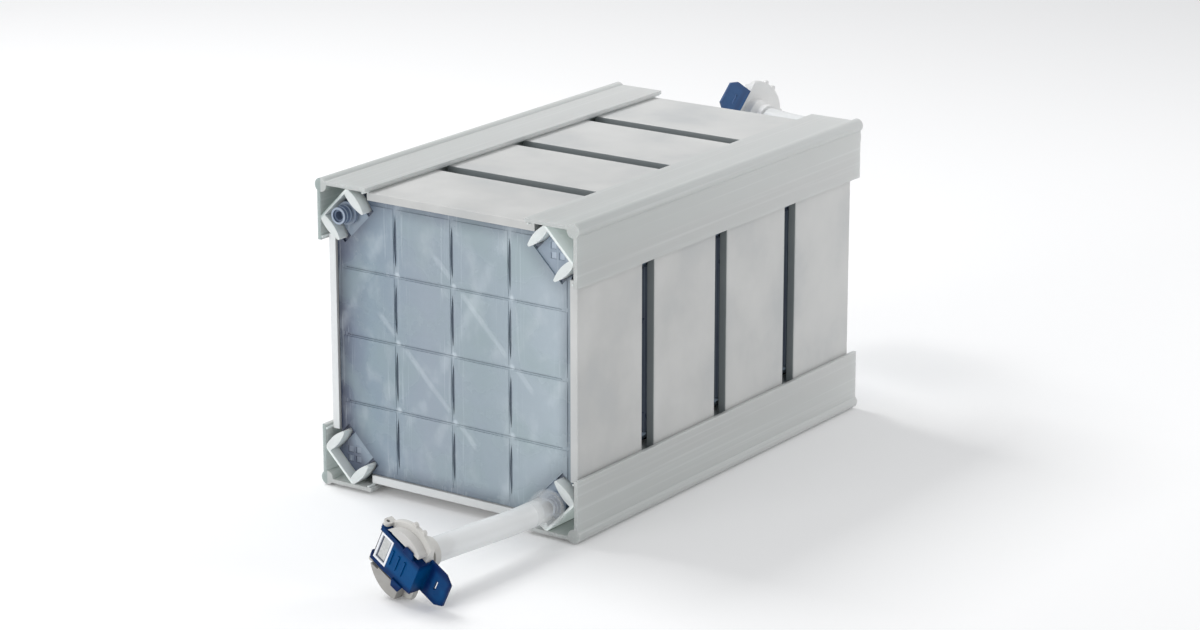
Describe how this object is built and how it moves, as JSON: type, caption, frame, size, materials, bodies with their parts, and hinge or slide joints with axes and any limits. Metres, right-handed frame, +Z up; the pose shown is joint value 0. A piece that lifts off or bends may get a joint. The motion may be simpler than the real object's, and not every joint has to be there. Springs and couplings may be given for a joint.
{
  "type": "multilayer cell culture stack",
  "caption": "Long square module of bonded culture trays between end plates, held by corner rails and side panels, with a short hose and a flip-cover sterile connector at each end.",
  "frame": {"origin": "middle of the footprint on the bench, at the underside of the lower corner beads", "axes": "+Z up, Y along the stack with its front end at -Y, X across it"},
  "size_m": [0.2473, 0.716, 0.2444],
  "materials": {
    "rail_plastic": "satin",
    "panel_plastic": "satin",
    "header_plastic": "clear",
    "tray_plastic": "clear",
    "end_plate_plastic": "clear, bluish",
    "plug_plastic": "clear",
    "hose_silicone": "translucent",
    "connector_plastic": "satin",
    "cover_plastic": "satin",
    "window_plastic": "gloss",
    "pin_plastic": "satin",
    "seal_silicone": "matt",
    "strip_film": "matt"
  },
  "bodies": {
    "module": {"bottom_left_header": "header_plastic", "bottom_left_rail": "rail_plastic", "bottom_panel_1": "panel_plastic", "bottom_panel_2": "panel_plastic", "bottom_panel_3": "panel_plastic", "bottom_panel_4": "panel_plastic", "bottom_right_header": "header_plastic", "bottom_right_rail": "rail_plastic", "front_connector_body": "connector_plastic", "front_end_plate": "end_plate_plastic", "front_face_seal": "seal_silicone", "front_hinge_pin": "pin_plastic", "front_hose": "hose_silicone", "front_peel_strip": "strip_film", "front_port_plug": "plug_plastic", "left_panel_1": "panel_plastic", "left_panel_2": "panel_plastic", "left_panel_3": "panel_plastic", "left_panel_4": "panel_plastic", "rear_connector_body": "connector_plastic", "rear_end_plate": "end_plate_plastic", "rear_face_seal": "seal_silicone", "rear_hinge_pin": "pin_plastic", "rear_hose": "hose_silicone", "rear_peel_strip": "strip_film", "rear_port_plug": "plug_plastic", "right_panel_1": "panel_plastic", "right_panel_2": "panel_plastic", "right_panel_3": "panel_plastic", "right_panel_4": "panel_plastic", "top_left_header": "header_plastic", "top_left_rail": "rail_plastic", "top_panel_1": "panel_plastic", "top_panel_2": "panel_plastic", "top_panel_3": "panel_plastic", "top_panel_4": "panel_plastic", "top_right_header": "header_plastic", "top_right_rail": "rail_plastic", "tray_pack_1": "tray_plastic", "tray_pack_2": "tray_plastic", "tray_pack_3": "tray_plastic", "tray_pack_4": "tray_plastic"},
    "front_cover": {"front_flip_cover": "cover_plastic", "front_cover_window": "window_plastic"},
    "rear_cover": {"rear_flip_cover": "cover_plastic", "rear_cover_window": "window_plastic"}
  },
  "joints": [
    {"name": "front_cover_hinge", "type": "hinge", "parent": "module", "child": "front_cover", "pos_m": [0.06235, -0.35724, 0.0401], "axis": [-0.4491, 0.0663, -0.891], "range_deg": [0, 150]},
    {"name": "rear_cover_hinge", "type": "hinge", "parent": "module", "child": "rear_cover", "pos_m": [-0.05623, 0.33502, 0.18739], "axis": [-0.1816, -0.559, -0.809], "range_deg": [0, 150]}
  ]
}
